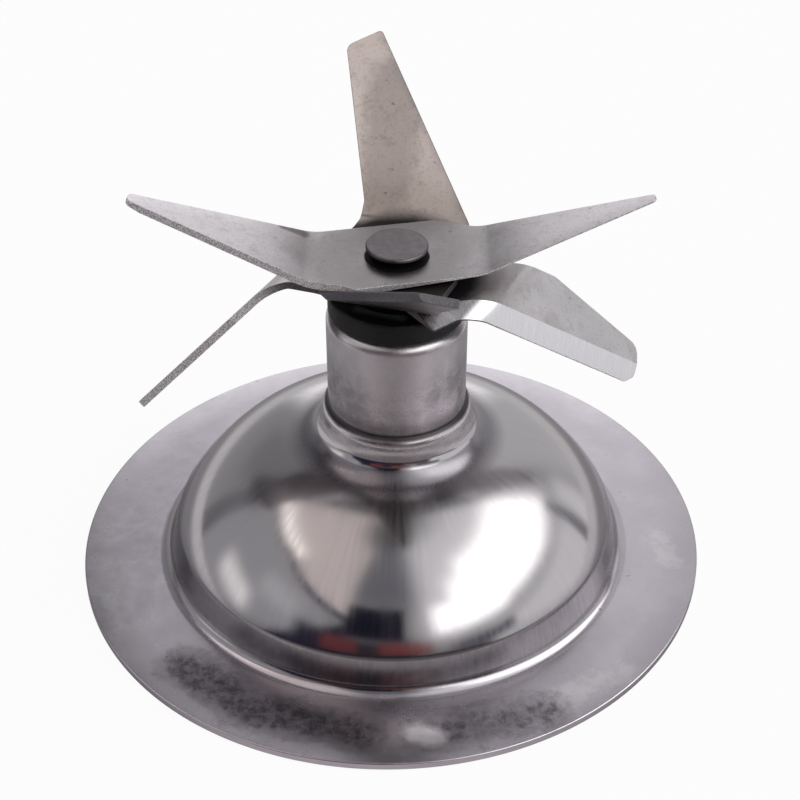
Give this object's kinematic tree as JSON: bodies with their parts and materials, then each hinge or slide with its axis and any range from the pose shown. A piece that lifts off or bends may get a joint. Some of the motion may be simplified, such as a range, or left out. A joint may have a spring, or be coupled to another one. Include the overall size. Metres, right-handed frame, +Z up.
{
  "type": "blender blade assembly",
  "caption": "Blender blade assembly: drawn steel base with a domed flange and bearing neck, a riveted stack of angled blades on a shaft, and a square drive socket under the dome.",
  "frame": {"origin": "centre of the flange's underside", "axes": "+Z up the shaft, +X along the top blade's right arm as pictured, +Y away from the viewer"},
  "size_m": [0.061, 0.061, 0.0446],
  "materials": {
    "base_steel": "satin, worn, lightly stained",
    "blade_steel": "satin, with ground edges",
    "shaft_steel": "satin, dulled",
    "thrust_steel": "plain ground",
    "coupling_steel": "sintered, matte",
    "bush_bronze": "sintered, oiled",
    "felt": "pressed wool felt",
    "seal_rubber": "matte",
    "washer_green": "matte, dark green"
  },
  "bodies": {
    "base": {"base_shell": "base_steel", "upper_bush": "bush_bronze", "oil_felt": "felt", "lower_bush": "bush_bronze", "shaft_seal": "seal_rubber", "seal_washer": "washer_green"},
    "rotor": {"shaft": "shaft_steel", "blade_spacer": "shaft_steel", "blade_shim": "shaft_steel", "lower_blade": "blade_steel", "raised_blade": "blade_steel", "top_blade": "blade_steel", "thrust_washer": "thrust_steel", "drive_coupling": "coupling_steel"}
  },
  "joints": [
    {"name": "blade_spin", "type": "hinge", "parent": "base", "child": "rotor", "pos_m": [0, 0, 0.0304], "axis": [0, 0, 1], "continuous": true}
  ]
}
